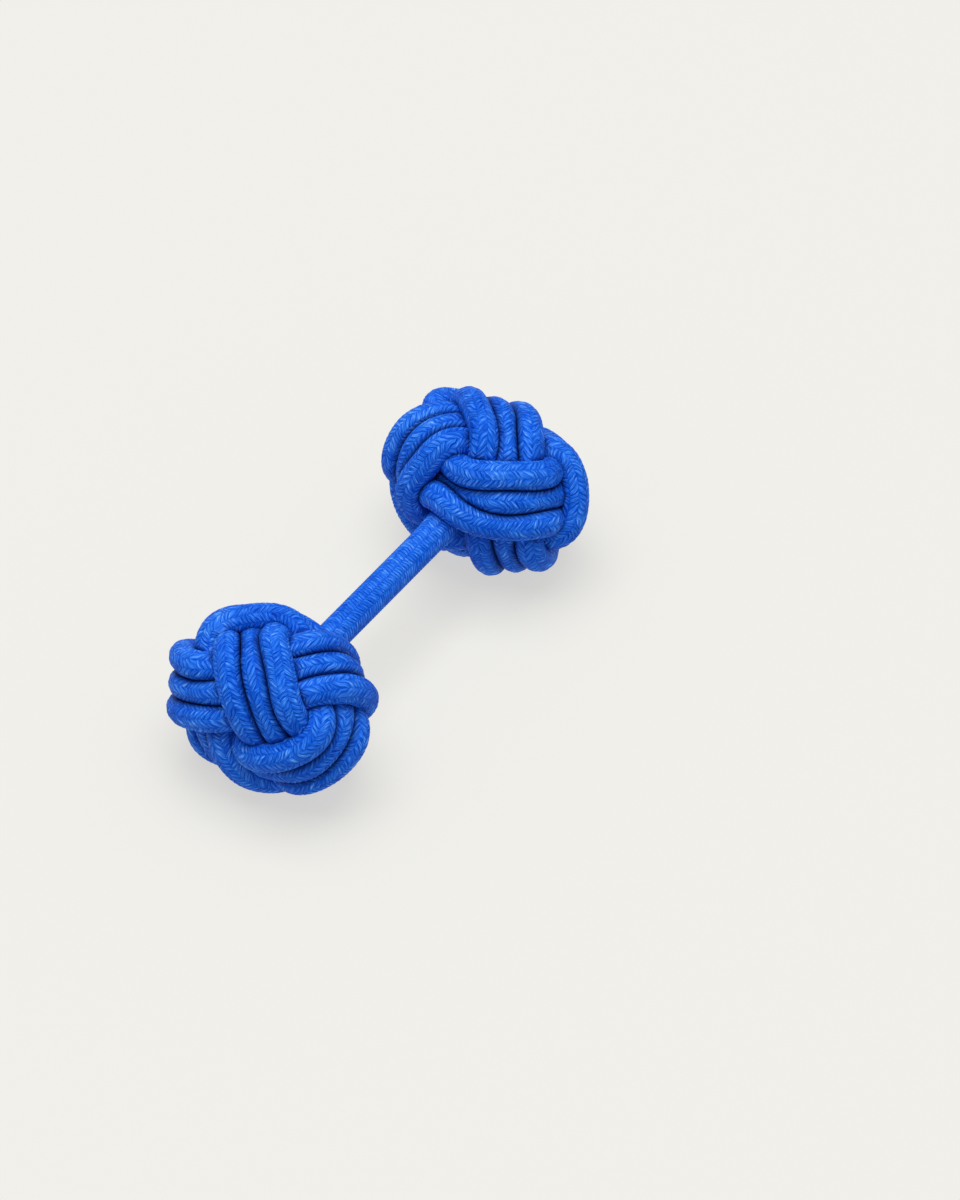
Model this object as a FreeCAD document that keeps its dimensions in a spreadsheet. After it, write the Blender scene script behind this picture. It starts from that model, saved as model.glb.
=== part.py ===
"""Silk knot cuff button: two ball knots of braided cord on a short covered link.

Each knot is one length of cord led three times round a three lead, four bight
weave, flattened along the link, with a hollow inside for the link's stop.
The button lies on a flat surface: +X runs along the link to the far knot, +Z
is up, and the origin is on the surface under the middle. Millimetres.
"""

import FreeCAD, Part
import Sketcher
import math
import os

# The driving dimensions: alias, value, meaning
SIZES = (
    ("cord_width", 1.65, "diameter of the braided cord of the knots"),
    ("cord_bed", 1.42, "spacing to which soft turns draw together"),
    ("cord_flat", 0.8, "thickness to width where two turns cross"),
    ("turn_gap", 0.07, "space kept between neighbouring turns"),
    ("link_width", 1.78, "diameter of the covered link"),
    ("link_flare", 2.0, "diameter of the link where a knot grips it"),
    ("flare_run", 1.3, "length of the flare outside a knot"),
    ("stop_width", 2.5, "diameter of the hidden stop at the link's end"),
    ("stop_length", 1.3, "length of the hidden stop along the link"),
    ("stop_edge", 0.3, "chamfer round both faces of the stop"),
    ("knot_spacing", 20.4, "distance between the centres of the two knots"),
    ("weave_along", 3.35, "middle of the weave, from the centre along the link"),
    ("weave_across", 5.1, "middle of the weave, from the centre sideways"),
    ("weave_up", 4.0, "middle of the weave, from the centre upwards"),
    ("bight_reach", 60, "degrees from the knot's girdle to the ends of a bight"),
    ("near_turn", 38, "degrees the near knot is turned about the link"),
    ("far_turn", 46, "degrees the far knot is turned about the link"),
    ("near_tip", 0, "degrees the near knot's link side dips"),
    ("far_tip", 12, "degrees the far knot's link side dips, as it lies on the soft link"),
    ("rest_flat", 0.1, "depth by which the soft cord flattens where it rests"),
)

LEADS = 3
BIGHTS = 4
CIRCUITS = 3

# Which knots there are: label, side of the middle, sizes that turn and tip it,
# quarter turns that put the cord's hidden ends under it, away from the eye
KNOTS = (
    ("near_knot", -1, "near_turn", "near_tip", 2),
    ("far_knot", 1, "far_turn", "far_tip", 2),
)

TUBE_SIDES = 8
RING_SPACING = 0.6
STEPS_PER_RING = 3
LEAST_REACH = 0.3
PATH_POINTS = 600
TIGHTEN_STEPS = 80


def sheet_of_sizes(doc):
    """The spreadsheet that holds the driving dimensions under their aliases."""
    sheet = doc.addObject("Spreadsheet::Sheet", "sizes")
    for row, (alias, value, meaning) in enumerate(SIZES, start=1):
        sheet.set(f"A{row}", alias)
        sheet.set(f"B{row}", str(value))
        sheet.set(f"C{row}", meaning)
        sheet.setAlias(f"B{row}", alias)
    doc.recompute()
    return sheet


def ease(x):
    """A step from 0 to 1 that starts and ends gently."""
    x = min(1.0, max(0.0, x))
    return x * x * (3 - 2 * x)


def distance(p, q):
    return math.sqrt((p[0] - q[0]) ** 2 + (p[1] - q[1]) ** 2 + (p[2] - q[2]) ** 2)


def add(p, q, factor=1.0):
    return (p[0] + q[0] * factor, p[1] + q[1] * factor, p[2] + q[2] * factor)


def dot(p, q):
    return p[0] * q[0] + p[1] * q[1] + p[2] * q[2]


def cross(p, q):
    return (p[1] * q[2] - p[2] * q[1], p[2] * q[0] - p[0] * q[2], p[0] * q[1] - p[1] * q[0])


def unit(p):
    size = math.sqrt(dot(p, p)) or 1.0
    return (p[0] / size, p[1] / size, p[2] / size)


class Weave:
    """The route of the cord of one knot, about the knot's own centre and poles."""

    def __init__(self, sheet, side, turn, tip, quarter):
        self.side = side
        self.turn = math.radians(turn + 90 * quarter)
        self.tip = side * math.radians(tip)
        self.link_way = (-side * math.cos(self.tip), 0.0, abs(math.sin(self.tip)))
        self.axes = (sheet.weave_along, sheet.weave_across, sheet.weave_up)
        self.reach = math.radians(sheet.bight_reach)
        self.bed = sheet.cord_bed
        self.flat = sheet.cord_flat
        self.layer = sheet.cord_width * sheet.cord_flat
        self.link_room = (sheet.link_width + sheet.cord_width) / 2

    def outward(self, p):
        """The direction away from the weave's middle surface."""
        return unit([p[k] / self.axes[k] ** 2 for k in range(3)])

    def off_link(self, p):
        """How far along the link a point is, and its offset from the link's axis."""
        along = dot(p, self.link_way)
        return along, add(p, self.link_way, -along)

    def tipped(self, p):
        """The point after the knot's link side has dipped."""
        x, y, z = p
        lean, rise = math.cos(self.tip), math.sin(self.tip)
        return (x * lean - z * rise, y, x * rise + z * lean)

    def track(self, phase):
        """A point of the single track: it swings between the poles as it goes round."""
        swing = self.reach * math.cos(math.radians(phase))
        around = self.side * (math.radians(phase * LEADS / BIGHTS) + self.turn)
        along, across, up = self.axes
        return (self.side * along * math.sin(swing),
                -across * math.cos(swing) * math.sin(around),
                up * math.cos(swing) * math.cos(around))

    def place(self, phase, lane, sink):
        """A point of the cord, so many lanes beside the track and layers under it."""
        here = self.track(phase)
        ahead = add(self.track(phase + 0.1), here, -1.0)
        sideways = cross(self.outward(here), unit(ahead))
        p = add(here, sideways, lane * self.bed)
        shrink = math.sqrt(sum((p[k] / self.axes[k]) ** 2 for k in range(3)))
        p = (p[0] / shrink, p[1] / shrink, p[2] / shrink)
        angle = math.radians(phase)
        over_under = 0.77 * math.sin(2 * angle) - 0.385 * math.sin(4 * angle)
        return add(p, self.outward(p), (over_under / 2 - sink) * self.layer)

    def lay(self):
        """The cord laid loosely: it changes lanes, starts and ends under a crossing."""
        hidden = 120.0
        tail = 32.0
        half_change = 28.0
        rise = 70.0
        deepest = 0.8
        step = 4.0
        circuit = 360.0 * BIGHTS
        finish = hidden + CIRCUITS * circuit
        points = []
        phase = hidden - tail
        while phase <= finish + tail:
            lane = -1.0
            for done in range(1, CIRCUITS):
                change = hidden + done * circuit - half_change
                lane += ease((phase - change) / (2 * half_change))
            start_sink = 1 - ease((phase - hidden) / rise + 0.45)
            end_sink = ease((phase - finish) / rise + 0.55)
            points.append(self.place(phase, lane, deepest * max(start_sink, end_sink)))
            phase += step
        return points

    def stretched(self, gap, middle):
        """A gap between turns, seen so that a flattened crossing counts as round."""
        return add(gap, middle, dot(gap, middle) * (1 / self.flat - 1))

    def part_turns(self, points, pairs):
        """How far each point is pushed by the turns that press on it."""
        moves = [(0.0, 0.0, 0.0)] * len(points)
        touches = [0] * len(points)
        normals = [self.outward(p) for p in points]
        for i, j in pairs:
            gap = add(points[j], points[i], -1.0)
            middle = add(normals[i], normals[j])
            middle = (middle[0] / 2, middle[1] / 2, middle[2] / 2)
            seen = self.stretched(gap, middle)
            reach = math.sqrt(dot(seen, seen))
            if reach >= self.bed:
                continue
            push = add(seen, middle, dot(seen, middle) * (self.flat - 1))
            share = 0.25 * (self.bed - reach) / reach
            moves[i] = add(moves[i], push, -share)
            moves[j] = add(moves[j], push, share)
            touches[i] += 1
            touches[j] += 1
        return [add(p, m, 1 / max(1.0, 0.35 * count))
                for p, m, count in zip(points, moves, touches)]

    def keep_out(self, p):
        """The point moved out of the hollow and off the link."""
        hollow = [axis - 1.5 * self.bed * self.flat for axis in self.axes]
        depth = math.sqrt(sum((p[k] / hollow[k]) ** 2 for k in range(3)))
        if depth < 1:
            grow = 1 + 0.5 * (1 / max(depth, 0.001) - 1)
            p = (p[0] * grow, p[1] * grow, p[2] * grow)
        along, offset = self.off_link(p)
        off_axis = math.sqrt(dot(offset, offset))
        if along > 0 and off_axis < self.link_room:
            p = add(p, offset, 0.5 * (self.link_room / max(off_axis, 0.1) - 1))
        return p

    def draw_tight(self, points, steps):
        """Pull the cord until its turns lie against each other."""
        tension = 0.3
        stiffness = 0.4
        for step in range(steps):
            if step % 8 == 0:
                skip = int(1.6 * self.bed / distance(points[0], points[1]))
                pairs = near_pairs(points, self.bed * 1.15, skip)
            points = self.part_turns(points, pairs)
            points = [self.keep_out(p) for p in points]
            points = smoothed(points, tension, stiffness)
            points = evenly(points, len(points))
        return points

    def route(self):
        return self.draw_tight(evenly(self.lay(), PATH_POINTS), TIGHTEN_STEPS)


def evenly(points, count):
    """The same route with its points at even distances."""
    reached = [0.0]
    for p, q in zip(points, points[1:]):
        reached.append(reached[-1] + distance(p, q))
    even = []
    k = 0
    for i in range(count):
        goal = reached[-1] * i / (count - 1)
        while k < len(reached) - 2 and reached[k + 1] < goal:
            k += 1
        part = (goal - reached[k]) / (reached[k + 1] - reached[k])
        even.append(add(points[k], add(points[k + 1], points[k], -1.0), part))
    return even


def smoothed(points, tension, stiffness):
    """The route after the pull of the cord and its stiffness have acted once."""
    none = (0.0, 0.0, 0.0)
    bends = [none]
    for before, here, after in zip(points, points[1:], points[2:]):
        middle = add(before, after)
        bends.append((middle[0] / 2 - here[0], middle[1] / 2 - here[1], middle[2] / 2 - here[2]))
    bends.append(none)
    moved = [points[0]]
    for i in range(1, len(points) - 1):
        spread = add(bends[i - 1], bends[i + 1])
        p = add(points[i], bends[i], tension + stiffness)
        moved.append(add(p, spread, -stiffness / 2))
    moved.append(points[-1])
    return moved


def near_pairs(points, reach, skip):
    """Pairs of points closer than reach, leaving out close ones of the same stretch."""
    cells = {}
    for i, p in enumerate(points):
        cells.setdefault(tuple(int(v // reach) for v in p), []).append(i)
    pairs = []
    for (x, y, z), mine in cells.items():
        beside = [j for dx in (-1, 0, 1) for dy in (-1, 0, 1) for dz in (-1, 0, 1)
                  for j in cells.get((x + dx, y + dy, z + dz), ())]
        for i in mine:
            for j in beside:
                if j - i > skip and distance(points[i], points[j]) < reach:
                    pairs.append((i, j))
    return pairs


def nearest_along(points, i, j):
    """Whether no point beside j on its own stretch is closer to point i."""
    reach = distance(points[i], points[j])
    beside = points[max(j - 1, 0):j + 2]
    return all(distance(points[i], p) >= reach for p in beside)


def cord_rings(route, weave, sheet):
    """Rings round the cord, each flattened where a neighbouring turn presses on it.

    Between two turns lies a plane. A ring stays behind the planes seen from it
    and from as far as the next ring, so that straight facets stay behind them too.
    """
    radius = sheet.cord_width / 2
    least = LEAST_REACH * radius
    length = sum(distance(p, q) for p, q in zip(route, route[1:]))
    fine = evenly(route, int(length * STEPS_PER_RING / RING_SPACING) + 1)
    skip = int(1.6 * sheet.cord_bed / distance(fine[0], fine[1]))
    planes = [[] for _ in fine]
    for i, j in near_pairs(fine, 2.4 * radius, skip):
        if not (nearest_along(fine, i, j) or nearest_along(fine, j, i)):
            continue
        gap = add(fine[j], fine[i], -1.0)
        room = (math.sqrt(dot(gap, gap)) - sheet.turn_gap) / 2
        towards = unit(gap)
        away = (-towards[0], -towards[1], -towards[2])
        planes[i].append((towards, dot(fine[i], towards) + room))
        planes[j].append((away, dot(fine[j], away) + room))
    link_room = sheet.link_flare / 2 + sheet.turn_gap
    for i, p in enumerate(fine):
        along, offset = weave.off_link(p)
        if along > 0 and math.sqrt(dot(offset, offset)) < 2.4 * radius:
            inwards = unit((-offset[0], -offset[1], -offset[2]))
            planes[i].append((inwards, -link_room))
    rings = []
    for i in range(0, len(fine), STEPS_PER_RING):
        centre = fine[i]
        ahead = unit(add(fine[min(i + 1, len(fine) - 1)], fine[max(i - 1, 0)], -1.0))
        normal = weave.outward(centre)
        normal = unit(add(normal, ahead, -dot(normal, ahead)))
        sideways = cross(ahead, normal)
        seen = [plane for step in planes[max(i - STEPS_PER_RING, 0):i + STEPS_PER_RING + 1]
                for plane in step]
        walls = [(towards, level - dot(centre, towards)) for towards, level in seen]
        ring = []
        for k in range(TUBE_SIDES):
            angle = 2 * math.pi * (k + 0.5) / TUBE_SIDES
            spoke = add((0, 0, 0), sideways, math.cos(angle))
            spoke = add(spoke, normal, math.sin(angle))
            reach = radius
            for towards, room in walls:
                lean = dot(spoke, towards)
                if lean * reach > room:
                    reach = room / lean
            ring.append(add(centre, spoke, max(reach, least)))
        rings.append(ring)
    return rings


def tube_solid(rings):
    """A closed solid through the rings, with a flat fan at each end."""
    sides = len(rings[0])
    vectors = [[FreeCAD.Vector(*p) for p in ring] for ring in rings]
    faces = []

    def facet(a, b, c):
        faces.append(Part.Face(Part.makePolygon([a, b, c, a])))

    for ring, ahead in zip(vectors, vectors[1:]):
        for k in range(sides):
            m = (k + 1) % sides
            facet(ring[k], ring[m], ahead[m])
            facet(ring[k], ahead[m], ahead[k])
    for ring in (vectors[0], vectors[-1]):
        middle = sum(ring, FreeCAD.Vector()) * (1 / sides)
        for k in range(sides):
            facet(middle, ring[k], ring[(k + 1) % sides])
    solid = Part.makeSolid(Part.makeShell(faces))
    if solid.Volume < 0:
        solid.reverse()
    return solid


def knot_rings(sheet, side, turn, tip, quarter):
    """The rings of one knot's cord, about its centre, with its link side dipped."""
    weave = Weave(sheet, side, turn, tip, quarter)
    rings = cord_rings(weave.route(), weave, sheet)
    return [[weave.tipped(p) for p in ring] for ring in rings]


def make_knots(doc, sheet):
    """Both knots, on the surface, and the height of the link above it."""
    knots = []
    for label, side, turn_size, tip_size, quarter in KNOTS:
        turn, tip = getattr(sheet, turn_size), getattr(sheet, tip_size)
        rings = knot_rings(sheet, side, turn, tip, quarter)
        knots.append((label, side, rings))
    floors = [min(p[2] for ring in rings for p in ring) for _, _, rings in knots]
    height = -max(floors) - sheet.rest_flat
    for label, side, rings in knots:
        flat = [[(p[0], p[1], max(p[2], -height)) for p in ring] for ring in rings]
        knot = doc.addObject("Part::Feature", label)
        knot.Label = label
        knot.Shape = tube_solid(flat)
        centre = FreeCAD.Vector(side * sheet.knot_spacing / 2, 0, height)
        knot.Placement = FreeCAD.Placement(centre, FreeCAD.Rotation())
    return height


def make_link(doc, sheet, height):
    """The link: a covered cord that flares into each knot and ends in a hidden stop."""
    body = doc.addObject("PartDesign::Body", "link")
    body.Label = "link"
    sketch = body.newObject("Sketcher::SketchObject", "link_profile")
    plane = next(f for f in body.Origin.OriginFeatures if f.Role == "XZ_Plane")
    sketch.AttachmentSupport = [(plane, "")]
    sketch.MapMode = "FlatFace"

    # Half of the profile from the middle out: place along the link, distance from
    # its axis, each written with the sheet's sizes
    mouth = "(sizes.knot_spacing / 2 - sizes.weave_along - sizes.cord_width / 2)"
    stop = "(sizes.knot_spacing / 2 + sizes.stop_length / 2)"
    corners = (
        (f"{mouth} - sizes.flare_run", "sizes.link_width / 2"),
        (mouth, "sizes.link_flare / 2"),
        (f"{stop} - sizes.stop_length", "sizes.link_flare / 2"),
        (f"{stop} - sizes.stop_length", "sizes.stop_width / 2 - sizes.stop_edge"),
        (f"{stop} - sizes.stop_length + sizes.stop_edge", "sizes.stop_width / 2"),
        (f"{stop} - sizes.stop_edge", "sizes.stop_width / 2"),
        (stop, "sizes.stop_width / 2 - sizes.stop_edge"),
    )
    outline = [("-1", along, off) for along, off in reversed(corners)]
    outline += [("1", along, off) for along, off in corners]
    outline = [("-1", stop, "0")] + outline + [("1", stop, "0")]

    def value(expression):
        return float(sheet.evalExpression(expression.replace("sizes.", "")))

    points = [FreeCAD.Vector(float(sign) * value(along), value(off), 0)
              for sign, along, off in outline]
    count = len(points)
    for k in range(count):
        sketch.addGeometry(Part.LineSegment(points[k], points[(k + 1) % count]), False)
    for k in range(count):
        sketch.addConstraint(Sketcher.Constraint("Coincident", k, 2, (k + 1) % count, 1))
    for k, (sign, along, off) in enumerate(outline):
        name = f"corner_{k}"
        place = sketch.addConstraint(
            Sketcher.Constraint("DistanceX", -1, 1, k, 1, points[k].x))
        sketch.renameConstraint(place, name + "_along")
        sketch.setExpression(f"Constraints.{name}_along", f"{sign} * ({along})")
        if off == "0":
            sketch.addConstraint(Sketcher.Constraint("PointOnObject", k, 1, -1))
            continue
        away = sketch.addConstraint(
            Sketcher.Constraint("DistanceY", -1, 1, k, 1, points[k].y))
        sketch.renameConstraint(away, name + "_off")
        sketch.setExpression(f"Constraints.{name}_off", off)
    turned = body.newObject("PartDesign::Revolution", "link_turned")
    turned.Profile = sketch
    turned.ReferenceAxis = (sketch, ["H_Axis"])
    turned.Angle = 360
    body.Tip = turned
    body.Placement = FreeCAD.Placement(FreeCAD.Vector(0, 0, height), FreeCAD.Rotation())
    return body


def check(doc, labels):
    """Stop if an object failed or a piece isn't one valid closed solid."""
    for thing in doc.Objects:
        for trouble in ("Invalid", "Error"):
            if trouble in thing.State:
                raise RuntimeError(f"{thing.Label}: {thing.State}")
    for label in labels:
        shape = doc.getObjectsByLabel(label)[0].Shape
        if shape.isNull() or not shape.isValid() or len(shape.Solids) != 1:
            raise RuntimeError(f"{label} isn't one valid solid")
        box = shape.BoundBox
        print(f"{label}: {shape.Volume:.1f} mm3, x {box.XMin:.2f} to {box.XMax:.2f}, "
              f"y {box.YMin:.2f} to {box.YMax:.2f}, z {box.ZMin:.2f} to {box.ZMax:.2f}")


def main():
    doc = FreeCAD.newDocument("silk_knot_cuff_button")
    sheet = sheet_of_sizes(doc)
    height = make_knots(doc, sheet)
    make_link(doc, sheet, height)
    doc.recompute()
    labels = [row[0] for row in KNOTS] + ["link"]
    check(doc, labels)
    os.makedirs("parts", exist_ok=True)
    for label in labels:
        doc.getObjectsByLabel(label)[0].Shape.exportStep(f"parts/{label}.step")


main()
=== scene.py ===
# %% [markdown]
# Silk knot cuff button, a lesson in cord.
# The real thing is made of braided cord alone. Each ball is one length of cord led
# three times round a small weave and drawn tight, and a short covered link joins the
# two balls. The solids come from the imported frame. Here each ball gets its cord at
# full roundness with the braid on it, and the link gets its finer plaited covering.

# %% Load the frame
import math

import bmesh
import bpy
import numpy as np
from mathutils import Matrix, Vector
from mathutils.kdtree import KDTree


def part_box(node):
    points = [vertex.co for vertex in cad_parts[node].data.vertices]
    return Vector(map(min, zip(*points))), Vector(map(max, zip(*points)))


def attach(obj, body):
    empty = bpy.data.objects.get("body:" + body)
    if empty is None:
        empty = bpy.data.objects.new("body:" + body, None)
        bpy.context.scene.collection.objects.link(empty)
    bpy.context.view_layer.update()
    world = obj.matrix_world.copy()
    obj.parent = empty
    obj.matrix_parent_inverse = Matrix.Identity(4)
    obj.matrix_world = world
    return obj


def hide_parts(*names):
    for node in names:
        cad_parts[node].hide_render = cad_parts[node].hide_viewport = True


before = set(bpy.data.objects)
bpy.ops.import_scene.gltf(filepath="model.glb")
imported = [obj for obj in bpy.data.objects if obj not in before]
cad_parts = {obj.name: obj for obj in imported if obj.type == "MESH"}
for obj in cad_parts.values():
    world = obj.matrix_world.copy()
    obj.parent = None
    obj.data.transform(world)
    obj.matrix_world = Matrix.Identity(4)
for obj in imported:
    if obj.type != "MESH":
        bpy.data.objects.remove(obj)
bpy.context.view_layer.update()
MM = 0.001
print("nodes:", sorted(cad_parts))

# %% [markdown]
# The camera looks down at about 45 degrees past the near ball, along the link. A long
# lens some way off keeps both balls nearly the same size, as in a product photograph.
# The photograph leaves a lot of empty floor round the button, and so does this view.
# The lens follows from the distance and from how many pixels a millimetre takes up.

# %% Camera
ELEVATION = math.radians(45.0)
AZIMUTH = math.radians(-55.2)
DISTANCE = 700 * MM
PHOTO_WIDTH, PHOTO_HEIGHT = 960, 1200
PIXELS_PER_MM = 18.4
CENTRE_PIXEL = (379.8, 588.8)
SENSOR = 36.0
CLIP_NEAR, CLIP_FAR = 0.01, 20.0

low_link, high_link = (Vector(corner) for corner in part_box("link"))
button_centre = (low_link + high_link) / 2
back = Vector((math.sin(AZIMUTH) * math.cos(ELEVATION),
               -math.cos(AZIMUTH) * math.cos(ELEVATION),
               math.sin(ELEVATION)))
right = Vector((math.cos(AZIMUTH), math.sin(AZIMUTH), 0))
up = back.cross(right)
pixel = MM / PIXELS_PER_MM
sideways = (PHOTO_WIDTH / 2 - CENTRE_PIXEL[0]) * pixel
upwards = (CENTRE_PIXEL[1] - PHOTO_HEIGHT / 2) * pixel

camera_data = bpy.data.cameras.new("camera")
camera_data.sensor_width = SENSOR
camera_data.lens = SENSOR * (DISTANCE / pixel) / PHOTO_HEIGHT
camera_data.clip_start = CLIP_NEAR
camera_data.clip_end = CLIP_FAR
camera = bpy.data.objects.new("camera", camera_data)
bpy.context.scene.collection.objects.link(camera)
stand = Matrix((right, up, back)).transposed().to_4x4()
stand.translation = button_centre + back * DISTANCE + right * sideways + up * upwards
camera.matrix_world = stand
bpy.context.scene.camera = camera
print("lens", round(camera_data.lens, 1), "mm")

# %% [markdown]
# Both balls are made of the same cord. BED is the distance at which two turns lie side
# by side, a little less than the cord's width because the cord is soft, and FLAT is how
# much flatter it gets where turns lie on each other. WEAVE_AXES are the half axes of
# the surface that the weave lies on. The two balls differ in their turn about the link
# and in how far they are tipped on it.

# %% Sizes of the cord and the weave
CORD = 1.65 * MM
BED = 1.42 * MM
FLAT = 0.8
LINK = 1.78 * MM
KNOT_SPACING = 20.4 * MM
WEAVE_AXES = np.array((3.35, 5.1, 4.0)) * MM
REACH = math.radians(60)
LEADS, BIGHTS, CIRCUITS = 3, 4, 3
KNOTS = (("near_knot", -1, 38 + 180, 0), ("far_knot", 1, 46 + 180, 12))
LINK_HEIGHT = button_centre.z


def unit(v):
    """The same directions at length one."""
    return v / np.maximum(np.linalg.norm(v, axis=-1, keepdims=True), 1e-12)


def outward(p):
    """The directions away from the weave's middle surface."""
    return unit(p / WEAVE_AXES ** 2)


def ease(x):
    """A step from 0 to 1 that starts and ends gently."""
    x = np.clip(x, 0, 1)
    return x * x * (3 - 2 * x)


print("link's axis", round(LINK_HEIGHT / MM, 2), "mm up")

# %% [markdown]
# A ball's weave has three leads and four bights: a single track that swings between
# the two ends of the ball four times while it goes round three times. The cord follows
# it three times, side by side, and passes over and under in turn. One could trace the
# strands by hand, but the far side doesn't show. A formula lays the cord loosely and
# knows every side, and the solids were laid in the same way, so the two agree.

# %% Laying the cord
START_PHASE, TAIL, HALF_CHANGE = 120.0, 32.0, 28.0
PHASE_STEP = 4.0
RISE, START_SINK, END_SINK, DEEPEST = 70.0, 0.45, 0.55, 0.8
OVER_UNDER, SHARPER = 0.77, 0.385


def track(phase, side, turn):
    """The single track at these phases, in degrees along its swings."""
    swing = REACH * np.cos(np.radians(phase))
    around = side * np.radians(phase * LEADS / BIGHTS + turn)
    shape = np.stack([side * np.sin(swing),
                      -np.cos(swing) * np.sin(around),
                      np.cos(swing) * np.cos(around)], axis=1)
    return shape * WEAVE_AXES


def lay_cord(side, turn):
    """Three circuits of one cord. It changes lanes and ends under a crossing."""
    circuit = 360.0 * BIGHTS
    finish = START_PHASE + CIRCUITS * circuit
    phase = np.arange(START_PHASE - TAIL, finish + TAIL + 0.01, PHASE_STEP)
    lane = -np.ones(len(phase))
    for done in range(1, CIRCUITS):
        begun = phase - START_PHASE - done * circuit + HALF_CHANGE
        lane += ease(begun / (2 * HALF_CHANGE))
    sink = np.maximum(1 - ease((phase - START_PHASE) / RISE + START_SINK),
                      ease((phase - finish) / RISE + END_SINK)) * DEEPEST
    here = track(phase, side, turn)
    ahead = unit(track(phase + 0.1, side, turn) - here)
    beside = np.cross(outward(here), ahead)
    p = here + beside * lane[:, None] * BED
    p = p / np.sqrt(((p / WEAVE_AXES) ** 2).sum(axis=1, keepdims=True))
    angle = np.radians(phase)
    lift = (OVER_UNDER * np.sin(2 * angle) - SHARPER * np.sin(4 * angle)) / 2 - sink
    return p + outward(p) * lift[:, None] * CORD * FLAT


print("points laid in a ball:", len(lay_cord(1, KNOTS[1][2])))

# %% [markdown]
# The route is worked on as a row of points. Two small measures are needed all the time:
# the route's length, and the same route with its points at even distances.

# %% Even steps along a route
PATH_POINTS = 600


def evenly(points, count):
    """The same route with its points at even distances."""
    run = np.linalg.norm(np.diff(points, axis=0), axis=1)
    reached = np.concatenate([[0], np.cumsum(run)])
    goals = np.linspace(0, reached[-1], count)
    return np.stack([np.interp(goals, reached, points[:, k]) for k in range(3)], axis=1)


def length_of(points):
    """The route's length."""
    return float(np.linalg.norm(np.diff(points, axis=0), axis=1).sum())


print("laid loosely:", round(length_of(lay_cord(1, KNOTS[1][2])) / MM), "mm of cord")

# %% [markdown]
# A knot is finished by drawing it tight. A physics simulation of the whole cord would
# be slow and hard to steer, so the same is done here in small steps. In each step,
# turns that press into each other are pushed apart. They give way sideways more than
# they give way in height, because the cord is flattened there.

# %% Turns that press
OWN_STRETCH = 1.6 * BED
TOUCH_REACH = BED * 1.15
PUSH_SHARE, CROWDED = 0.25, 0.35


def near_pairs(points, reach, skip):
    """Pairs of points closer than reach, leaving out close ones of the same stretch."""
    gap = np.linalg.norm(points[:, None] - points[None], axis=2)
    i, j = np.nonzero(gap < reach)
    keep = j - i > skip
    return i[keep], j[keep]


def part_turns(points, i, j):
    """The points pushed apart where turns press into each other."""
    normals = outward(points)
    middle = (normals[i] + normals[j]) / 2
    gap = points[j] - points[i]
    seen = gap + middle * ((gap * middle).sum(axis=1) * (1 / FLAT - 1))[:, None]
    reach = np.linalg.norm(seen, axis=1)
    share = PUSH_SHARE * np.maximum(BED - reach, 0) / reach
    push = seen + middle * ((seen * middle).sum(axis=1) * (FLAT - 1))[:, None]
    moves = np.zeros_like(points)
    touches = np.zeros(len(points))
    np.add.at(moves, i, -push * share[:, None])
    np.add.at(moves, j, push * share[:, None])
    np.add.at(touches, i, share > 0)
    np.add.at(touches, j, share > 0)
    return points + moves / np.maximum(1, CROWDED * touches)[:, None]


print("turns touch at", round(BED / MM, 2), "mm")

# %% [markdown]
# The link runs into the ball along its axis, and the middle of the ball is hollow. The
# cord is kept off the one and out of the other. A ball that is tipped meets the link at
# a slant, so the link's direction is worked out as the tipped ball sees it.

# %% Off the link and out of the hollow
HOLLOW = WEAVE_AXES - 1.5 * BED * FLAT
GIVE = 0.5
LEAST_DEPTH, LEAST_OFFSET = 0.001, 0.1 * MM


def link_way(side, tip):
    """The link's direction from the ball's centre, seen from the tipped ball."""
    lean = math.radians(tip)
    return np.array((-side * math.cos(lean), 0, math.sin(lean)))


def off_link(points, way):
    """Each point's offset from the link's axis, and how far along it the point is."""
    along = points @ way
    return points - along[..., None] * way, along


def keep_out(points, way):
    """The points moved out of the hollow and off the link."""
    depth = np.sqrt(((points / HOLLOW) ** 2).sum(axis=1))
    inside = 1 + GIVE * (1 / np.maximum(depth, LEAST_DEPTH) - 1)
    grow = np.where(depth < 1, inside, 1)
    points = points * grow[:, None]
    room = (LINK + CORD) / 2
    offset, along = off_link(points, way)
    reach = np.linalg.norm(offset, axis=1)
    close = (along > 0) & (reach < room)
    grow = np.where(close, GIVE * (room / np.maximum(reach, LEAST_OFFSET) - 1), 0)
    return points + offset * grow[:, None]


print("hollow", [round(2 * float(c) / MM, 1) for c in HOLLOW], "mm across")

# %% [markdown]
# Between the pushes, the cord's own pull shortens its bends and its stiffness rounds
# them. The pairs that touch are looked up afresh every few steps, because that is the
# slow part.

# %% Drawing the cord tight
TIGHTEN_STEPS, LOOK_AGAIN = 80, 8
TENSION, STIFFNESS = 0.3, 0.4


def smoothed(points):
    """The route after the pull of the cord and its stiffness have acted once."""
    bends = np.zeros_like(points)
    bends[1:-1] = (points[:-2] + points[2:]) / 2 - points[1:-1]
    moved = points.copy()
    moved[1:-1] += bends[1:-1] * (TENSION + STIFFNESS)
    moved[1:-1] -= (bends[:-2] + bends[2:]) * STIFFNESS / 2
    return moved


def draw_tight(points, way):
    """The laid cord after all its small steps."""
    for step in range(TIGHTEN_STEPS):
        if step % LOOK_AGAIN == 0:
            skip = int(OWN_STRETCH / np.linalg.norm(points[1] - points[0]))
            i, j = near_pairs(points, TOUCH_REACH, skip)
        points = part_turns(points, i, j)
        points = keep_out(points, way)
        points = evenly(smoothed(points), len(points))
    return points


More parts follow.
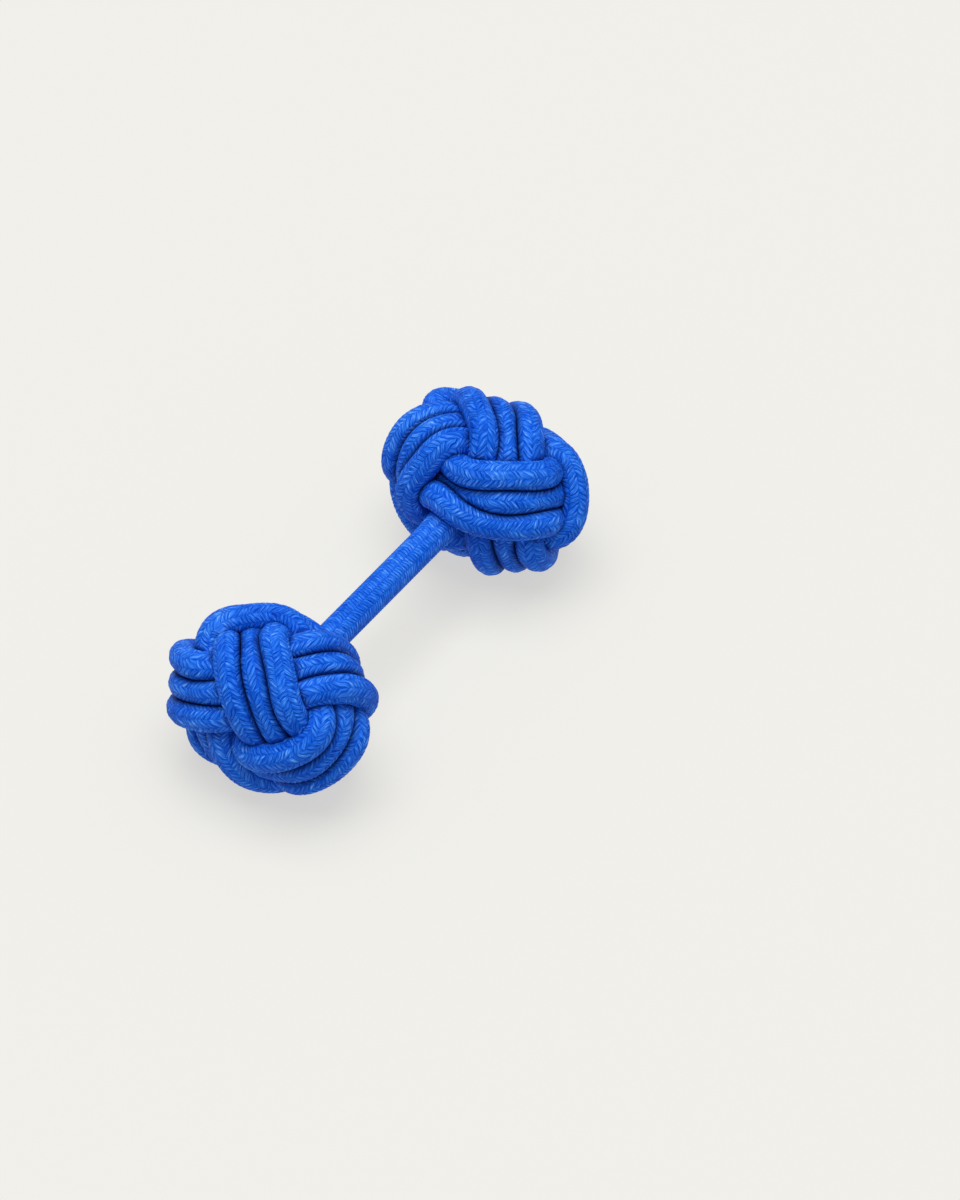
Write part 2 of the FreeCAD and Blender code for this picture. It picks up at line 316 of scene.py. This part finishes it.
ROUTES = {}
for name, side, turn, tip in KNOTS:
    laid = evenly(lay_cord(side, turn), PATH_POINTS)
    ROUTES[name] = draw_tight(laid, link_way(side, tip))
    print(name, "cord", round(length_of(ROUTES[name]) / MM), "mm long")

# %% [markdown]
# The cord is plaited from fine silky yarns. Seen close, it has narrow columns along it,
# and in each column short yarns slant one way, in the next the other way, half a yarn
# on. A folded coordinate gives the slants. The yarns' rounded pads are raised in the
# mesh first, a few hundredths of a millimetre, so that the outline shows them too. No
# plait is quite even, so a soft seeded drift shifts its yarns a little.

# %% Relief of the plait
COLUMNS, YARNS, SLANT = 10, 6.6, 1.25
LINK_COLUMNS, LINK_YARNS, LINK_SLANT = 10, 8.5, 0.8
PAD_RELIEF = 0.04 * MM
PAD_POWER, COLUMN_POWER, COLUMN_SHARE = 2.2, 4.0, 0.6
DRIFT, DRIFT_PASSES = 0.3, 8


def pad_height(u, v, columns, yarns, slant, drift):
    """How high the yarns stand, from 0 to 1, u round the cord and v along it."""
    across = u * columns
    folded = 1 - np.abs(across % 2 - 1)
    count = v * yarns + 0.5 * (np.floor(across) % 2) + folded * slant + drift
    yarn = 1 - np.abs(2 * (count % 1) - 1) ** PAD_POWER
    column = 1 - np.abs(2 * (across % 1) - 1) ** COLUMN_POWER
    return yarn * (1 - COLUMN_SHARE + COLUMN_SHARE * column)


def soft_drift(rows, sides, seed):
    """Random numbers on the rings' points, smoothed along and round the cord."""
    drift = np.random.default_rng(seed).normal(size=(rows, sides))
    for _ in range(DRIFT_PASSES):
        for axis in (0, 1):
            drift = (np.roll(drift, 1, axis) + drift + np.roll(drift, -1, axis)) / 3
    return drift * DRIFT / drift.std()


print("yarns every", round(CORD / YARNS / MM, 2), "mm along the cord")

# %% [markdown]
# The tube round the route is made of rings. They have to be fine enough for the yarns,
# so the route is divided again, and small kinks that the drawing tight has left are
# eased out. A ring's first point lies beside the cord, and a quarter of the way round
# it points out of the ball.

# %% Rings round the route
SIDES = 30
RING_STEP = 0.082 * MM
EVENING_PASSES = 30


def even_line(route):
    """The middle of the cord, in steps as fine as the rings, with small kinks eased."""
    centres = evenly(route, int(length_of(route) / RING_STEP))
    for _ in range(EVENING_PASSES):
        centres[1:-1] = (centres[:-2] + 2 * centres[1:-1] + centres[2:]) / 4
    return centres


def ring_spokes(centres):
    """The directions from each ring's centre to its points."""
    ahead = unit(np.gradient(centres, axis=0))
    normal = outward(centres)
    normal = unit(normal - ahead * (normal * ahead).sum(axis=1, keepdims=True))
    beside = np.cross(ahead, normal)
    angles = np.arange(SIDES) * 2 * math.pi / SIDES
    return (beside[:, None] * np.cos(angles)[None, :, None]
            + normal[:, None] * np.sin(angles)[None, :, None])


print("rings in the near ball:", len(even_line(ROUTES["near_knot"])))

# %% [markdown]
# The cord is a soft tube, so where two turns touch they flatten against each other and
# a sharp crease is left between them. Each point of a ring is held back at the plane
# half way to the nearest point of a neighbouring turn. Side by side, the two faces meet
# there, as in the real ball. Where turns cross at an angle their planes only nearly
# agree, and the turns overlap a little, mostly out of sight. How open each point lies is
# kept for the painted shade in the creases: 0 in a crease and 1 away from one.

# %% Pressing the turns together
CREASE = 0.05 * MM
SHADE_REACH = 0.32
NEIGHBOURS, SAME_TURN = 2.2, 4
LEAST_LEAN = 0.05


def nearest_turns(tree, centres, k, reach, skip):
    """For each neighbouring turn within reach, its point nearest to point k."""
    found = sorted((index, gap) for _, index, gap in tree.find_range(centres[k], reach)
                   if abs(index - k) > skip)
    nearest = []
    last = None
    for index, gap in found:
        if last is None or index - last > SAME_TURN:
            nearest.append((index, gap))
        elif gap < nearest[-1][1]:
            nearest[-1] = (index, gap)
        last = index
    return nearest


def held_back(centres, spokes):
    """How far each point reaches before it meets a neighbour, and how open it lies."""
    radius = CORD / 2
    reach = np.full(spokes.shape[:2], radius)
    openness = np.ones(spokes.shape[:2])
    tree = KDTree(len(centres))
    for k, centre in enumerate(centres):
        tree.insert(centre, k)
    tree.balance()
    skip = int(OWN_STRETCH / RING_STEP)
    for k in range(len(centres)):
        for other, gap in nearest_turns(tree, centres, k, NEIGHBOURS * radius, skip):
            lean = spokes[k] @ ((centres[other] - centres[k]) / gap)
            room = (gap - CREASE) / 2
            held = np.where(lean > LEAST_LEAN,
                            room / np.maximum(lean, LEAST_LEAN), radius)
            reach[k] = np.minimum(reach[k], held)
            clear = (room / radius - lean) / SHADE_REACH
            openness[k] = np.minimum(openness[k], np.clip(clear, 0, 1))
    return reach, openness


print("turns are", round(CREASE / MM, 2), "mm apart in a crease")

# %% [markdown]
# With the pads raised and the points moved off the link, the rings are complete. Then
# the ball is tipped on the link and moved to its end of it. Where it rests, the cord
# lies flat on the floor.

# %% The ball's rings in place
def pressed_rings(route, way, drift_seed):
    """The rings' points in the ball, how open they lie and how their yarns drift."""
    centres = even_line(route)
    spokes = ring_spokes(centres)
    reach, openness = held_back(centres, spokes)
    count = len(centres)
    drift = soft_drift(count, SIDES, drift_seed)
    pads = pad_height(np.arange(SIDES)[None] / SIDES,
                      np.arange(count)[:, None] * RING_STEP / CORD,
                      COLUMNS, YARNS, SLANT, drift)
    reach += (pads - 0.5) * PAD_RELIEF * openness
    points = centres[:, None] + spokes * reach[:, :, None]
    offset, along = off_link(points, way)
    distance = np.linalg.norm(offset, axis=2)
    room = LINK / 2 + CREASE
    close = (along > 0) & (distance < room)
    grow = np.where(close, room / np.maximum(distance, 1e-6) - 1, 0)
    return points + offset * grow[..., None], openness, drift


def stood_up(points, side, tip):
    """The ball tipped on the link, moved to its place and flattened where it rests."""
    lean = side * math.radians(tip)
    x, y, z = points[..., 0], points[..., 1], points[..., 2]
    along = x * math.cos(lean) - z * math.sin(lean) + side * KNOT_SPACING / 2
    height = x * math.sin(lean) + z * math.cos(lean) + LINK_HEIGHT
    placed = np.stack([along, y, height], axis=-1)
    placed[..., 2] = np.maximum(placed[..., 2], 0)
    return placed


BALLS = {}
for name, side, turn, tip in KNOTS:
    rings, openness, drift = pressed_rings(ROUTES[name], link_way(side, tip), turn)
    BALLS[name] = (stood_up(rings, side, tip), openness, drift)
    print(name, "rings of", SIDES, "points:", len(rings))

# %% [markdown]
# The tube starts as a flat strip of small squares, made by the grid operator with its
# own UV map. The strip is rolled up: each point of it goes to its place on a ring, and
# the seam is welded. u goes once round the cord and v runs along it in cord widths. The
# braid's colours are drawn in that map, so they follow every bend. Two more values stay
# with each point: how open it lies, and how far its yarn has drifted.

# %% Cord mesh
WELD = 1e-8


def cord_mesh(name, points, openness, drift):
    """A closed tube rolled up from a strip, with a UV map round and along it."""
    count, sides = points.shape[:2]
    bm = bmesh.new()
    bm.loops.layers.uv.new("along_cord")
    unshaded = bm.verts.layers.float.new("unshaded")
    drifted = bm.verts.layers.float.new("drifted")
    bmesh.ops.create_grid(bm, x_segments=sides, y_segments=count - 1, size=0.5,
                          calc_uvs=True)
    for vert in bm.verts:
        column = round((vert.co.x + 0.5) * sides) % sides
        row = round((vert.co.y + 0.5) * (count - 1))
        vert.co = points[row, column]
        vert[unshaded] = openness[row, column]
        vert[drifted] = drift[row, column]
    bmesh.ops.remove_doubles(bm, verts=bm.verts, dist=WELD)
    bmesh.ops.holes_fill(bm, edges=[e for e in bm.edges if e.is_boundary], sides=0)
    bmesh.ops.recalc_face_normals(bm, faces=bm.faces)
    mesh = bpy.data.meshes.new(name)
    bm.to_mesh(mesh)
    bm.free()
    mesh.polygons.foreach_set("use_smooth", [True] * len(mesh.polygons))
    corners = np.empty(len(mesh.loops) * 2, dtype=np.float32)
    mesh.uv_layers[0].data.foreach_get("uv", corners)
    corners[1::2] *= (count - 1) * RING_STEP / CORD
    mesh.uv_layers[0].data.foreach_set("uv", corners)
    return mesh


knot_pieces = []
for name, ball in BALLS.items():
    mesh = cord_mesh(name + "_cord", *ball)
    piece = bpy.data.objects.new(name + "_cord", mesh)
    bpy.context.scene.collection.objects.link(piece)
    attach(piece, "root")
    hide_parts(name)
    knot_pieces.append(piece)
    print(piece.name, "triangles", sum(len(f.vertices) - 2 for f in mesh.polygons))

# %% [markdown]
# A material is a tree of small steps. These helpers make one step each, so that the
# braid below reads like the formula that raised its pads.

# %% Small steps of a material
def joined(tree, kind, *inputs, **settings):
    """A shader node with sockets or constants put into its first inputs."""
    made = tree.nodes.new(kind)
    for key, value in settings.items():
        setattr(made, key, value)
    for slot, value in enumerate(inputs):
        if value is None:
            continue
        if isinstance(value, bpy.types.NodeSocket):
            tree.links.new(value, made.inputs[slot])
        else:
            made.inputs[slot].default_value = value
    return made.outputs[0]


def maths(tree, operation, *inputs):
    """One step of arithmetic."""
    return joined(tree, "ShaderNodeMath", *inputs, operation=operation)


def kept_with_points(tree, name):
    """The value that the mesh keeps with each of its points under this name."""
    made = tree.nodes.new("ShaderNodeAttribute")
    made.attribute_name = name
    return made.outputs["Fac"]


def hump(tree, value, power):
    """1 in the middle of each whole step of the value, 0 at its ends."""
    centred = maths(tree, "MULTIPLY_ADD", maths(tree, "FRACT", value), 2.0, -1.0)
    bent = maths(tree, "POWER", maths(tree, "ABSOLUTE", centred), power)
    return maths(tree, "SUBTRACT", 1.0, bent)


print("helpers ready:", joined.__name__, maths.__name__, hump.__name__)

# %% [markdown]
# The material repeats the plait's pattern in the cord's own map, with the same numbers,
# and adds what is finer than the mesh: the fibres of each yarn, and yarns that are a
# little lighter or darker than their neighbours. It gives three values for each spot:
# how high the pad stands, which paints shade in the gaps between yarns, the fibre, whose
# lightest streaks are painted glints, and the yarn's own shade.

# %% Pattern of the plait
WANDER_SCALE, WANDER = 1500.0, 0.8
FIBRES, FIBRE_RUN, COLUMN_JUMP = 5.0, 1.5, 7.3


def plait_pattern(tree, place, columns, yarns, slant):
    """The pad's height, the fibre and the yarn's own shade, in the cord's map."""
    split = tree.nodes.new("ShaderNodeSeparateXYZ")
    spot = joined(tree, "ShaderNodeUVMap", uv_map="along_cord")
    tree.links.new(spot, split.inputs[0])
    across = maths(tree, "MULTIPLY", split.outputs[0], columns)
    column = maths(tree, "FLOOR", across)
    folded = maths(tree, "PINGPONG", across, 1.0)
    half_column = maths(tree, "FRACT", maths(tree, "MULTIPLY", column, 0.5))
    every_other = maths(tree, "MULTIPLY", half_column, 2.0)
    count = maths(tree, "MULTIPLY_ADD", split.outputs[1], yarns,
                  maths(tree, "MULTIPLY", every_other, 0.5))
    count = maths(tree, "MULTIPLY_ADD", folded, slant, count)
    wander = joined(tree, "ShaderNodeTexNoise", place, None, WANDER_SCALE, 2.0)
    count = maths(tree, "MULTIPLY_ADD", wander, WANDER, count)
    count = maths(tree, "ADD", count, kept_with_points(tree, "drifted"))
    count = maths(tree, "SUBTRACT", count, WANDER / 2)
    pad = maths(tree, "MULTIPLY", hump(tree, count, PAD_POWER),
                maths(tree, "MULTIPLY_ADD", hump(tree, across, COLUMN_POWER),
                      COLUMN_SHARE, 1 - COLUMN_SHARE))
    along_yarn = maths(tree, "MULTIPLY_ADD", column, COLUMN_JUMP,
                       maths(tree, "MULTIPLY", folded, FIBRE_RUN))
    fibre_spot = joined(tree, "ShaderNodeCombineXYZ",
                        maths(tree, "MULTIPLY", count, FIBRES), along_yarn)
    fibre = joined(tree, "ShaderNodeTexNoise", fibre_spot, None, 1.0, 1.0)
    yarn_spot = joined(tree, "ShaderNodeCombineXYZ",
                       maths(tree, "FLOOR", count), column)
    yarn = joined(tree, "ShaderNodeTexWhiteNoise", yarn_spot, noise_dimensions="2D")
    return pad, fibre, yarn


print("fibres in a yarn:", FIBRES)

# %% [markdown]
# Silk is soft to the light, so the gloss is low and broad. The three values of the
# pattern and some large soft blotches add up to a tone, and a ramp of four blues gives
# it its colour. Part of that tone is painted light: higher pads are lighter and the gaps
# between yarns darker, as painted shade, and the fibres vary the tone while the lightest
# of them reach the ramp's pale end as painted glints. The creases between turns get
# painted shade, deep and nearly navy: light that gets out of them has met blue cord many
# times, so red and green are held back more than blue.

# %% Braid material
PAD_BUMP, FIBRE_BUMP = 0.5, 0.6
PAD_PAINTED_SHADE, YARN_TONE, BLOTCH_TONE, TONE_BASE = 0.23, 0.15, 0.3, 0.31
BLOTCH_SCALE = 420.0
# Painted shade: the share of red, green and blue left in the deepest crease.
PAINTED_CREASE_SHADE = (0.1, 0.2, 0.3)
KNOT_BUMP, LINK_BUMP = 0.065 * MM, 0.05 * MM
# Painted glints at the ramp's pale end, painted shade between yarns at its dark end.
BLUES = ((0.15, (0.0, 0.018, 0.28, 1)), (0.5, (0.0015, 0.088, 0.63, 1)),
         (0.74, (0.03, 0.2, 0.83, 1)), (0.97, (0.21, 0.47, 1.0, 1)))


def blue_for(tree, tone):
    """The ramp of blues at this tone, with painted shade where the cord lies in a
    crease.
    """
    ramp = tree.nodes.new("ShaderNodeValToRGB")
    stops = ramp.color_ramp.elements
    stops[0].position, stops[0].color = BLUES[0]
    stops[1].position, stops[1].color = BLUES[-1]
    for position, colour in BLUES[1:-1]:
        stops.new(position).color = colour
    tree.links.new(tone, ramp.inputs[0])
    # Painted shade: the blues are darkened towards navy where the cord lies in a crease.
    unshaded = kept_with_points(tree, "unshaded")
    painted_crease_shade = joined(tree, "ShaderNodeVectorMath", unshaded,
                        [1 - part for part in PAINTED_CREASE_SHADE], PAINTED_CREASE_SHADE,
                        operation="MULTIPLY_ADD")
    return joined(tree, "ShaderNodeVectorMath", ramp.outputs[0], painted_crease_shade,
                  operation="MULTIPLY")


def braid_material(name, columns, yarns, slant, relief):
    """Plaited cord: columns round it, and yarns along one cord width of a column."""
    material = bpy.data.materials.new(name)
    material.use_nodes = True
    tree = material.node_tree
    shader = tree.nodes["Principled BSDF"]
    place = tree.nodes.new("ShaderNodeTexCoord").outputs["Object"]
    pad, fibre, yarn = plait_pattern(tree, place, columns, yarns, slant)
    height = maths(tree, "MULTIPLY_ADD", fibre, FIBRE_BUMP,
                   maths(tree, "MULTIPLY", pad, PAD_BUMP))
    bump = tree.nodes.new("ShaderNodeBump")
    bump.inputs["Distance"].default_value = relief
    tree.links.new(height, bump.inputs["Height"])
    tree.links.new(bump.outputs[0], shader.inputs["Normal"])
    blotch = joined(tree, "ShaderNodeTexNoise", place, None, BLOTCH_SCALE, 1.0)
    # Painted shade and glints: high pads and light fibres lighten the blue, gaps darken
    # it.
    tone = maths(tree, "MULTIPLY_ADD", pad, PAD_PAINTED_SHADE, fibre)
    tone = maths(tree, "MULTIPLY_ADD", yarn, YARN_TONE, tone)
    tone = maths(tree, "SUBTRACT", tone, TONE_BASE)
    tone = maths(tree, "MULTIPLY_ADD", blotch, BLOTCH_TONE, tone)
    tree.links.new(blue_for(tree, tone), shader.inputs["Base Color"])
    shader.inputs["Roughness"].default_value = 0.55
    shader.inputs["Specular IOR Level"].default_value = 0.06
    shader.inputs["Sheen Weight"].default_value = 0.03
    shader.inputs["Sheen Roughness"].default_value = 0.35
    shader.inputs["Sheen Tint"].default_value = (0.25, 0.5, 1.0, 1.0)
    return material


knot_braid = braid_material("braided_cord", COLUMNS, YARNS, SLANT, KNOT_BUMP)
for piece in knot_pieces:
    piece.data.materials.append(knot_braid)
print("braid on", len(knot_pieces), "cords")

# %% [markdown]
# The link is a straight cord under a tight covering, plaited finer than the balls'
# cord, with its yarns nearly square to it. It widens a little where it goes into a
# ball, and ends inside the ball in a thicker stop that doesn't show. It could be swept
# along a curve, but a straight round thing is easiest to spin, so half of its section
# is drawn first.

# %% Link's section
YARN_PITCH = CORD / LINK_YARNS
ROWS_PER_YARN = 5
STOP, STOP_END, STOP_BEVEL = 1.25 * MM, 0.95 * MM, 0.3 * MM
STOP_INSET = 0.65 * MM
FLARE, FLARE_RUN = 0.1 * MM, 1.3 * MM


def link_profile():
    """Points of the half section from one hidden end to the other."""
    low = low_link.x
    inner = KNOT_SPACING / 2 - STOP_INSET
    mouth = KNOT_SPACING / 2 - WEAVE_AXES[0] - CORD / 2
    points = [(low, 0.0), (low, STOP_END), (low + STOP_BEVEL, STOP),
              (-inner - STOP_BEVEL, STOP), (-inner, STOP_END)]
    steps = int(2 * mouth / (YARN_PITCH / ROWS_PER_YARN))
    for k in range(steps + 1):
        x = -mouth + 2 * mouth * k / steps
        spread = float(ease((abs(x) - mouth + FLARE_RUN) / FLARE_RUN))
        points.append((x, LINK / 2 + FLARE * spread))
    points += [(-x, r) for x, r in reversed(points[:5])]
    return points


print("points in the link's section:", len(link_profile()))

# %% [markdown]
# The section is spun once round the link's axis with its last step merged, and moved up
# to the link's height. Then the covering's pads are raised on it, as on the cord, and
# fade out where the link goes into the balls, and the same fade paints shade on the
# covering there. Each face is mapped on its own side of the seam, so that no face has
# the whole way round in it.

# %% Link's mesh
LINK_SIDES = 64
SHOWN_END, SHOWN_FADE = 4.2 * MM, 1.4 * MM
LINK_RELIEF = 0.6


def link_drift(angle, run):
    """How far the covering's yarns drift, in slow waves along and round the link."""
    return 0.25 * math.sin(1.9 * run) + 0.2 * math.sin(2 * angle + 0.8 * run)


bm = bmesh.new()
profile = [bm.verts.new((x, 0.0, r)) for x, r in link_profile()]
edges = [bm.edges.new(pair) for pair in zip(profile, profile[1:])]
bmesh.ops.spin(bm, geom=profile + edges, cent=(0, 0, 0), axis=(1, 0, 0),
               angle=2 * math.pi, steps=LINK_SIDES, use_merge=True)
bmesh.ops.remove_doubles(bm, verts=bm.verts, dist=1e-7)
bmesh.ops.translate(bm, verts=bm.verts, vec=(0, 0, LINK_HEIGHT))
bmesh.ops.recalc_face_normals(bm, faces=bm.faces)
unshaded = bm.verts.layers.float.new("unshaded")
drifted = bm.verts.layers.float.new("drifted")
for vert in bm.verts:
    shown = float(ease((high_link.x - SHOWN_END - abs(vert.co.x)) / SHOWN_FADE))
    # Painted shade: the covering's colour darkens by this fade where it goes into a
    # ball.
    vert[unshaded] = shown
    y, z = vert.co.y, vert.co.z - LINK_HEIGHT
    angle, run = math.atan2(z, y), vert.co.x / CORD
    vert[drifted] = link_drift(angle, run)
    pad = pad_height(angle / (2 * math.pi), run, LINK_COLUMNS, LINK_YARNS, LINK_SLANT,
                     vert[drifted])
    swell = 1 + shown * LINK_RELIEF * PAD_RELIEF * (pad - 0.5) / (LINK / 2)
    vert.co.y, vert.co.z = y * swell, z * swell + LINK_HEIGHT
uv = bm.loops.layers.uv.new("along_cord")
for face in bm.faces:
    centre = face.calc_center_median()
    middle = math.atan2(centre.z - LINK_HEIGHT, centre.y)
    for loop in face.loops:
        co = loop.vert.co
        angle = math.atan2(co.z - LINK_HEIGHT, co.y)
        angle += 2 * math.pi * round((middle - angle) / (2 * math.pi))
        loop[uv].uv = (angle / (2 * math.pi), co.x / CORD)
link_mesh = bpy.data.meshes.new("link_cover")
bm.to_mesh(link_mesh)
bm.free()
link_mesh.polygons.foreach_set("use_smooth", [True] * len(link_mesh.polygons))
print("link triangles", sum(len(f.vertices) - 2 for f in link_mesh.polygons))

# %% [markdown]
# The covering stands for the plain solid of the link and takes the braid's material
# with its own finer numbers.

# %% Link's covering
link_piece = bpy.data.objects.new("link_cover", link_mesh)
bpy.context.scene.collection.objects.link(link_piece)
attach(link_piece, "root")
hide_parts("link")
link_mesh.materials.append(braid_material("link_covering", LINK_COLUMNS, LINK_YARNS,
                                          LINK_SLANT, LINK_BUMP))
print("covering on", link_piece.name)

# %% [markdown]
# The button lies on a seamless warm white sheet that glows by its own emission, as a
# light table would, so its own shadow stays pale: the glow is painted light on the
# sheet. The sheet's glow and its lit tone together give the photograph's background.

# %% Floor
FLOOR_HALF = 3.0
PAPER = (0.22, 0.22, 0.212, 1)
PAPER_GLOW = (0.59, 0.581, 0.545, 1)

floor_mesh = bpy.data.meshes.new("floor")
bm = bmesh.new()
bmesh.ops.create_grid(bm, x_segments=1, y_segments=1, size=FLOOR_HALF)
bm.to_mesh(floor_mesh)
bm.free()
floor = bpy.data.objects.new("floor", floor_mesh)
bpy.context.scene.collection.objects.link(floor)
paper = bpy.data.materials.new("paper")
paper.use_nodes = True
paper_shader = paper.node_tree.nodes["Principled BSDF"]
paper_shader.inputs["Base Color"].default_value = PAPER
paper_shader.inputs["Roughness"].default_value = 0.9
paper_shader.inputs["Specular IOR Level"].default_value = 0.0
# Painted glow: the sheet's emission pales its shadow.
paper_shader.inputs["Emission Color"].default_value = PAPER_GLOW
paper_shader.inputs["Emission Strength"].default_value = 1.0
floor_mesh.materials.append(paper)
print("floor", 2 * FLOOR_HALF, "m across")

# %% [markdown]
# A large soft light hangs almost straight over the button, so that the shadow lies
# close under each ball, and a bright surround fills the rest. The standard view
# transform keeps the blue as strong as it is in the material.

# %% Light
SURROUND, SURROUND_POWER = (1.0, 0.99, 0.97, 1), 0.45
KEY_DISTANCE, KEY_SIZE, KEY_POWER = 0.7, 0.6, 5.25

world = bpy.data.worlds.new("surround")
bpy.context.scene.world = world
world.use_nodes = True
world.node_tree.nodes["Background"].inputs[0].default_value = SURROUND
world.node_tree.nodes["Background"].inputs[1].default_value = SURROUND_POWER


def soft_light(name, towards, distance, size, power):
    """A square soft light that shines on the button from a direction."""
    data = bpy.data.lights.new(name, "AREA")
    data.size = size
    data.energy = power
    lamp = bpy.data.objects.new(name, data)
    bpy.context.scene.collection.objects.link(lamp)
    place = button_centre + towards.normalized() * distance
    lamp.location = place
    lamp.rotation_euler = (button_centre - place).to_track_quat("-Z", "Y").to_euler()


ground_ahead = Vector((-back.x, -back.y, 0)).normalized()
overhead = -right * 0.06 + ground_ahead * 0.02 + Vector((0, 0, 1.5))
soft_light("key", overhead, KEY_DISTANCE, KEY_SIZE, KEY_POWER)
bpy.context.scene.view_settings.view_transform = "Standard"
print("key light", KEY_POWER, "W,", KEY_DISTANCE, "m up")
